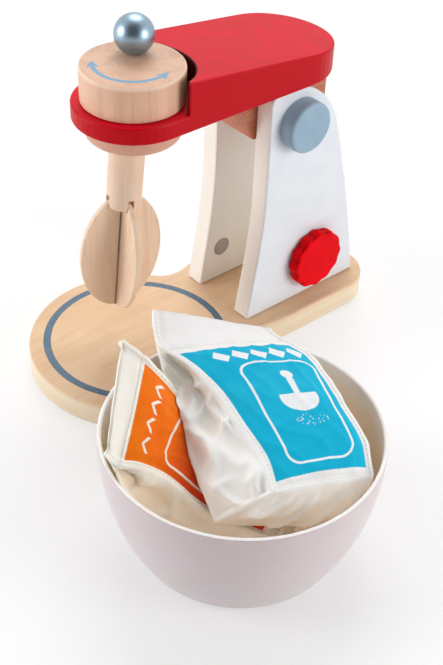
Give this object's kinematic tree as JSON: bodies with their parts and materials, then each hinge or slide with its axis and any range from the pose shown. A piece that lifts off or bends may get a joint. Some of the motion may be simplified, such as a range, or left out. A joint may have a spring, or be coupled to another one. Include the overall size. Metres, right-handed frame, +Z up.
{
  "type": "toy stand mixer",
  "caption": "Wooden toy stand mixer with a tilting head, a whisk turned by a ball, a side dial, a mixing bowl and cloth ingredient bags.",
  "frame": {"origin": "on the underside of the base board, under the middle of the drum and of the printed ring", "axes": "+Z up, -Y towards the drum end of the head, +X towards the side with the dial and the bowl"},
  "size_m": [0.3138, 0.3146, 0.2433],
  "materials": {
    "beech": "clear matt lacquer on light beech",
    "pale_beech": "bare light beech",
    "plywood": "bare light plywood",
    "white_paint": "white satin paint, bare edges",
    "red_lacquer": "red satin lacquer",
    "dial_red": "bright red satin paint",
    "grey_paint": "grey blue satin paint",
    "silver_paint": "metallic grey blue gloss paint",
    "screw_steel": "zinc plated",
    "bowl_plastic": "white satin plastic",
    "sugar_cotton": "white plain weave cotton",
    "flour_cotton": "cream plain weave cotton"
  },
  "bodies": {
    "stand": {"base_board": "beech", "side_plate_left": "white_paint", "side_plate_right": "white_paint", "plate_screw_left_front": "screw_steel", "plate_screw_left_rear": "screw_steel", "plate_screw_right_front": "screw_steel", "plate_screw_right_rear": "screw_steel", "left_plate_plug": "grey_paint", "pivot_axle": "beech", "pivot_cap_left": "grey_paint", "pivot_cap_right": "grey_paint"},
    "head": {"head_arm": "red_lacquer", "tilt_block": "beech", "block_dowel_front": "beech", "block_dowel_rear": "beech"},
    "beater": {"drum_top": "beech", "drum_flange": "beech", "turning_ball": "silver_paint", "ball_peg": "beech", "beater_stem": "pale_beech", "beater_leaf_wide": "plywood", "beater_leaf_cross": "plywood"},
    "dial": {"dial_knob": "dial_red", "dial_pin": "beech", "dial_keeper": "grey_paint"},
    "bowl": {"mixing_bowl": "bowl_plastic"},
    "flour": {"flour_bag": "flour_cotton"},
    "sugar": {"sugar_bag": "sugar_cotton"}
  },
  "joints": [
    {"name": "head_tilt", "type": "hinge", "parent": "stand", "child": "head", "pos_m": [0, 0.1064, 0.1612], "axis": [-1, 0, 0], "range_deg": [0, 50]},
    {"name": "whisk_turn", "type": "hinge", "parent": "head", "child": "beater", "pos_m": [0, 0, 0.2], "axis": [0, 0, 1], "continuous": true},
    {"name": "dial_turn", "type": "hinge", "parent": "stand", "child": "dial", "pos_m": [0.03, 0.1284, 0.0496], "axis": [1, 0, 0], "continuous": true},
    {"name": "bowl_lift", "type": "slide", "parent": "stand", "child": "bowl", "axis": [0, 0, 1], "range_m": [0, 0.15]},
    {"name": "flour_bag_lift", "type": "slide", "parent": "bowl", "child": "flour", "axis": [0, 0, 1], "range_m": [0, 0.12]},
    {"name": "sugar_bag_lift", "type": "slide", "parent": "flour", "child": "sugar", "axis": [0, 0, 1], "range_m": [0, 0.12]}
  ]
}
